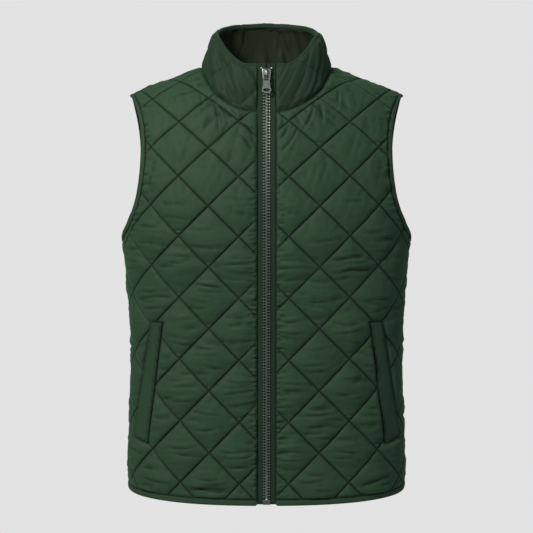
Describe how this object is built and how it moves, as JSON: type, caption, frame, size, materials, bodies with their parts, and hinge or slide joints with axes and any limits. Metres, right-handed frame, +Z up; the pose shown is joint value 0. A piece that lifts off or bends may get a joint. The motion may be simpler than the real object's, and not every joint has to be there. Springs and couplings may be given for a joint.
{
  "type": "quilted vest",
  "caption": "Sleeveless diamond-quilted vest with a stand collar, full front zip, bound armholes and hem, and slanting side pocket welts.",
  "frame": {"origin": "on the middle plane, level with the points where the shoulder seams meet the collar, where the wearer's shoulders hold it up", "axes": "+X to the wearer's left, -Y to the front, +Z up"},
  "size_m": [0.4328, 0.2497, 0.7029],
  "materials": {
    "shell": "dark green satin-faced woven polyester, quilted over wadding",
    "binding": "dark green folded binding, plain",
    "lining": "olive green smooth lining cloth",
    "tape": "dark green woven zip tape",
    "metal": "gunmetal plated zip teeth, slider and pull"
  },
  "bodies": {
    "vest": {"front_left": "shell", "front_right": "shell", "back": "shell", "collar_outer": "shell", "collar_lining": "lining", "armhole_binding_left": "binding", "armhole_binding_right": "binding", "hem_binding": "binding", "pocket_welt_left": "shell", "pocket_welt_right": "shell", "zip_tape_left": "tape", "zip_tape_right": "tape", "zip_chain": "metal", "zip_box": "metal", "zip_slider": "metal"},
    "pull_tab": {"zip_pull": "metal"}
  },
  "joints": [
    {"name": "pull_swing", "type": "hinge", "parent": "vest", "child": "pull_tab", "pos_m": [0, -0.08917, -0.01343], "axis": [-1, 0, 0], "range_deg": [0, 150]}
  ]
}
